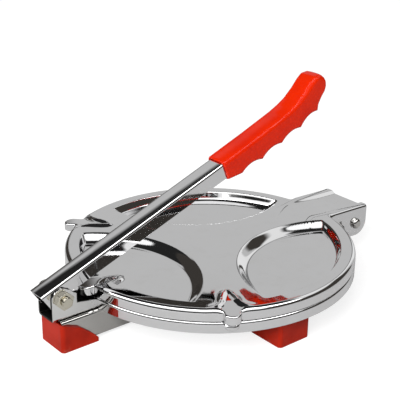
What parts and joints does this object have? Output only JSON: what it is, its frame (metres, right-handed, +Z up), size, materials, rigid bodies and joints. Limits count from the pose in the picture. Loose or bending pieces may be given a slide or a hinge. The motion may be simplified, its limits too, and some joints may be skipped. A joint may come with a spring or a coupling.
{
  "type": "tortilla press",
  "caption": "Hand press for flat breads: a hinged round steel cover closes on a shallow pan, pushed down by a channel lever with a finger grip.",
  "frame": {"origin": "centre of the press's bounding box, on the table under the shoes", "axes": "+Z up; +X from the lever's bolt to the cover's hinge, along the lever; +Y to the left of someone who looks along +X"},
  "size_m": [0.2624, 0.19, 0.1342],
  "materials": {
    "steel": "mirror-polished stainless steel sheet",
    "bolt_steel": "plain bright steel fasteners",
    "grip_red": "glossy moulded plastic",
    "shoe_red": "satin moulded plastic"
  },
  "bodies": {
    "base": {"leg_long": "steel", "leg_left": "steel", "leg_right": "steel", "shoe_lever": "shoe_red", "shoe_hinge": "shoe_red", "shoe_left": "shoe_red", "shoe_right": "shoe_red", "bottom_plate": "steel", "lever_bracket": "steel", "hinge_bracket": "steel"},
    "top_plate": {"top_cover": "steel", "top_press_disc": "steel", "hinge_pin": "bolt_steel"},
    "lever_pivot": {"lever_bolt": "bolt_steel", "lever_nut": "bolt_steel", "lever_bush": "bolt_steel"},
    "lever": {"lever_channel": "steel", "handle_grip": "grip_red"}
  },
  "joints": [
    {"name": "lever_swing", "type": "hinge", "parent": "base", "child": "lever_pivot", "pos_m": [-0.1185, 0, 0.0344], "axis": [0, -1, 0], "range_deg": [0, 162]},
    {"name": "lever_press", "type": "hinge", "parent": "lever_pivot", "child": "lever", "pos_m": [-0.1185, 0, 0.0344], "axis": [0, -1, 0], "range_deg": [-12.8, 0]},
    {"name": "top_hinge", "type": "hinge", "parent": "base", "child": "top_plate", "pos_m": [0.1197, 0, 0.0221], "axis": [0, 1, 0], "range_deg": [0, 105]}
  ],
  "couplings": [
    {"joint": "top_hinge", "follows": "lever_swing", "ratio": 0.27}
  ]
}
